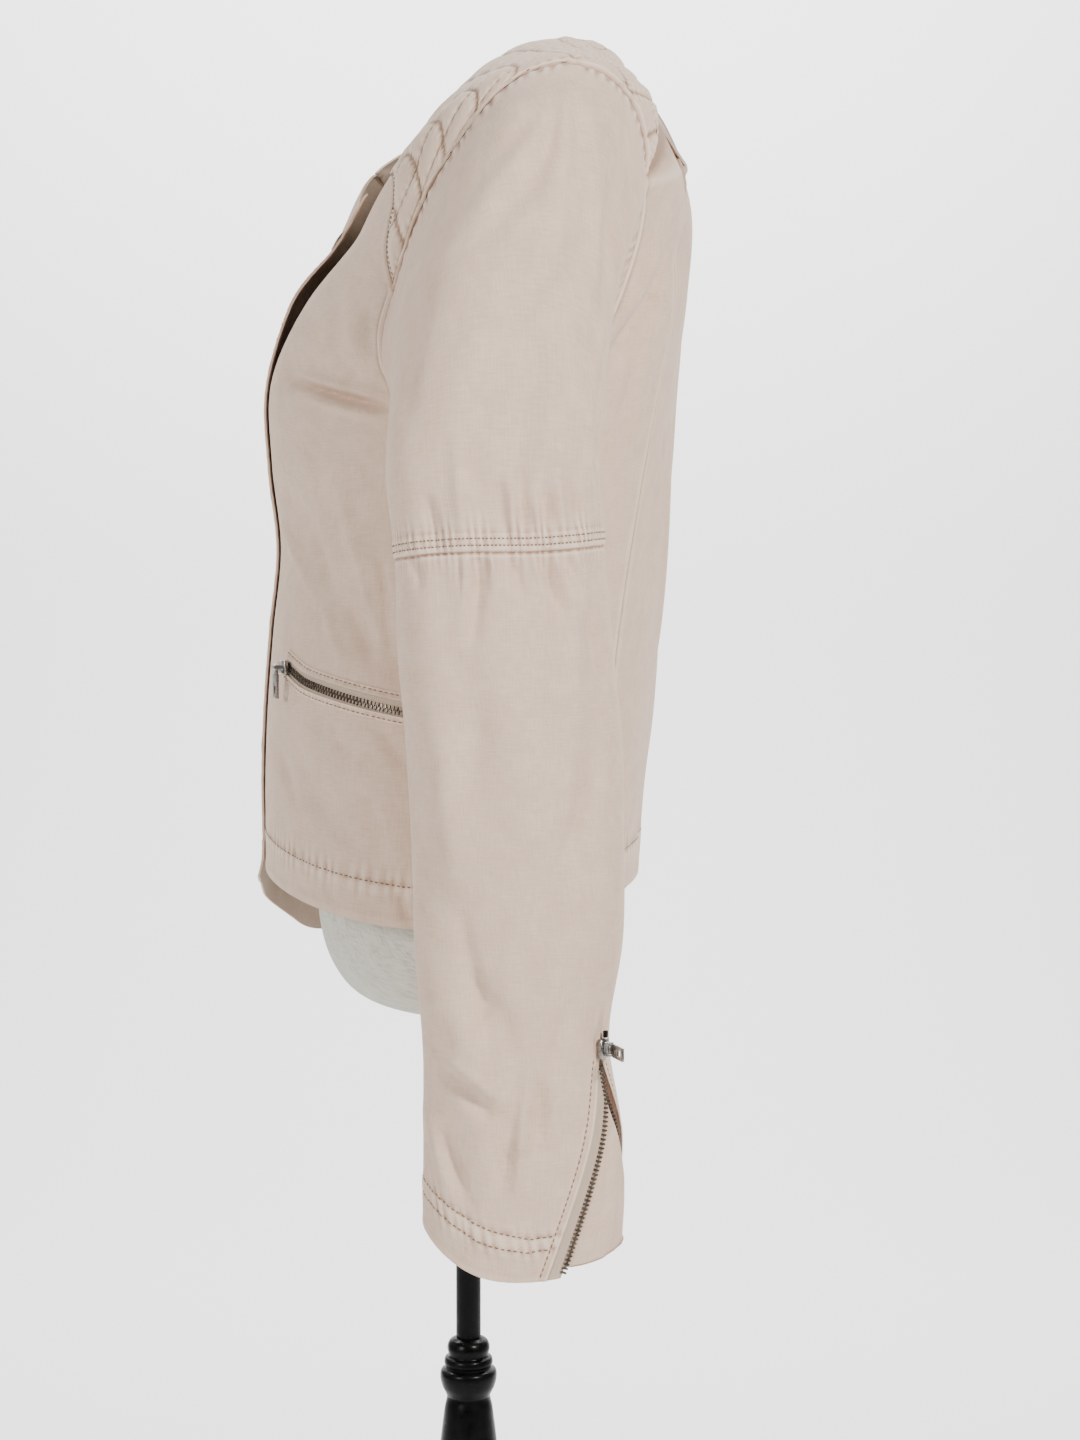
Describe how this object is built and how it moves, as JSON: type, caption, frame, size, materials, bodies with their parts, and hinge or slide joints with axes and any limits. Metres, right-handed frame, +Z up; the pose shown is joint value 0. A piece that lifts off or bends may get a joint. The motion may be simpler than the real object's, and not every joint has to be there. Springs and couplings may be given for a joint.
{
  "type": "biker jacket on a dress form",
  "caption": "Collarless biker jacket with quilted shoulder yokes, slanted zip pockets and zipped cuffs, hanging open-necked on a limbless dress form with a turned stand.",
  "frame": {"origin": "middle of the stand base's underside, on the floor", "axes": "+Z up, -Y the jacket's front, +X the wearer's left"},
  "size_m": [0.516, 0.322, 1.3839],
  "materials": {
    "cotton": "matt plain weave, pale blush beige",
    "zip_tape": "matt twill tape, beige",
    "dark_nickel": "dark nickel plate, satin",
    "linen": "matt natural linen",
    "black_steel": "black gloss",
    "black_lacquer": "black gloss lacquer"
  },
  "bodies": {
    "jacket_on_stand": {"back_centre": "cotton", "front_left": "cotton", "front_right": "cotton", "side_back_left": "cotton", "side_back_right": "cotton", "yoke_left": "cotton", "yoke_right": "cotton", "upper_sleeve_left": "cotton", "upper_sleeve_right": "cotton", "lower_sleeve_left": "cotton", "lower_sleeve_right": "cotton", "cuff_gusset_left": "cotton", "cuff_gusset_right": "cotton", "pocket_welt_upper_left": "cotton", "pocket_welt_upper_right": "cotton", "pocket_welt_lower_left": "cotton", "pocket_welt_lower_right": "cotton", "cuff_tape_near_left": "zip_tape", "cuff_tape_near_right": "zip_tape", "cuff_tape_far_left": "zip_tape", "cuff_tape_far_right": "zip_tape", "pocket_zip_left": "zip_tape", "pocket_zip_right": "zip_tape", "snap_1": "dark_nickel", "snap_2": "dark_nickel", "snap_3": "dark_nickel", "snap_4": "dark_nickel", "snap_5": "dark_nickel", "cuff_slider_left": "dark_nickel", "cuff_slider_right": "dark_nickel", "pocket_slider_left": "dark_nickel", "pocket_slider_right": "dark_nickel", "dress_form": "linen", "pole": "black_steel", "stand_column": "black_lacquer", "stand_base": "black_lacquer"},
    "cuff_tab_left": {"cuff_pull_left": "dark_nickel"},
    "cuff_tab_right": {"cuff_pull_right": "dark_nickel"},
    "pocket_tab_left": {"pocket_pull_left": "dark_nickel"},
    "pocket_tab_right": {"pocket_pull_right": "dark_nickel"}
  },
  "joints": [
    {"name": "cuff_tab_left_turn", "type": "hinge", "parent": "jacket_on_stand", "child": "cuff_tab_left", "pos_m": [0.23932, 0.07794, 0.84749], "axis": [0, 0, 1], "range_deg": [-25, 100]},
    {"name": "cuff_tab_right_turn", "type": "hinge", "parent": "jacket_on_stand", "child": "cuff_tab_right", "pos_m": [-0.23932, 0.07794, 0.84749], "axis": [0, 0, -1], "range_deg": [-25, 100]},
    {"name": "pocket_tab_left_lift", "type": "hinge", "parent": "jacket_on_stand", "child": "pocket_tab_left", "pos_m": [0.11186, -0.10118, 1.03341], "axis": [-0.8942, -0.4478, 0], "range_deg": [-6, 150]},
    {"name": "pocket_tab_right_lift", "type": "hinge", "parent": "jacket_on_stand", "child": "pocket_tab_right", "pos_m": [-0.11189, -0.10124, 1.03341], "axis": [-0.8942, 0.4478, 0], "range_deg": [-6, 150]}
  ]
}
